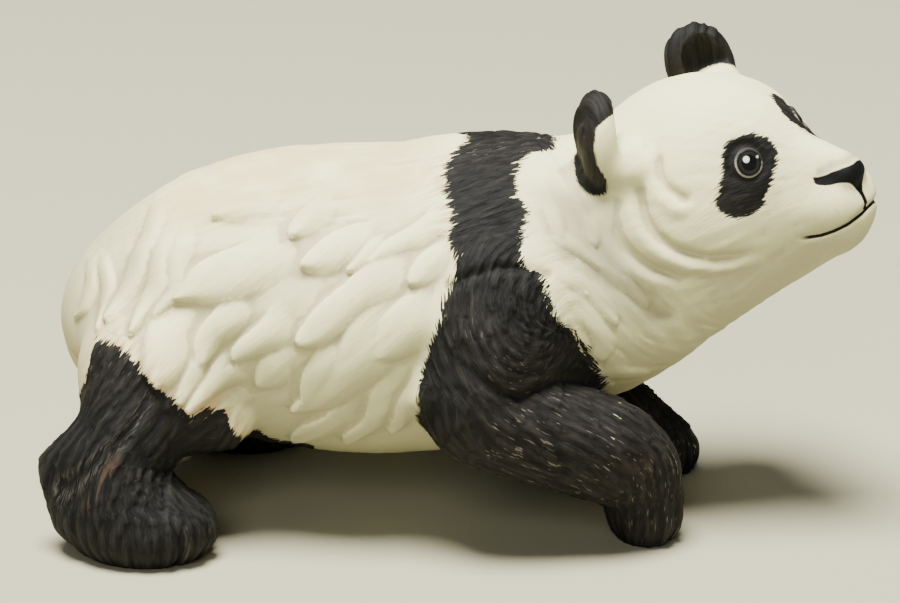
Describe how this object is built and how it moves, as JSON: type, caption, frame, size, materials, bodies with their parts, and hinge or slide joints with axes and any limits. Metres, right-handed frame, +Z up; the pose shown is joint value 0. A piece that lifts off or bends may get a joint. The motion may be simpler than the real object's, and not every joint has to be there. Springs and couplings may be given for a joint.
{
  "type": "animal figurine",
  "caption": "Bisque porcelain panda cub, walking with its head raised and turned aside, its flanks carved with flame-shaped locks of fur.",
  "frame": {"origin": "middle of the figure's box on the plane of its soles", "axes": "+X the way the cub walks, +Y its left side, +Z up"},
  "size_m": [0.1833, 0.0977, 0.1055],
  "materials": {
    "porcelain": "matte unglazed bisque, painted cream white and charcoal"
  },
  "bodies": {
    "root": {"panda_figurine": "porcelain"}
  },
  "joints": []
}
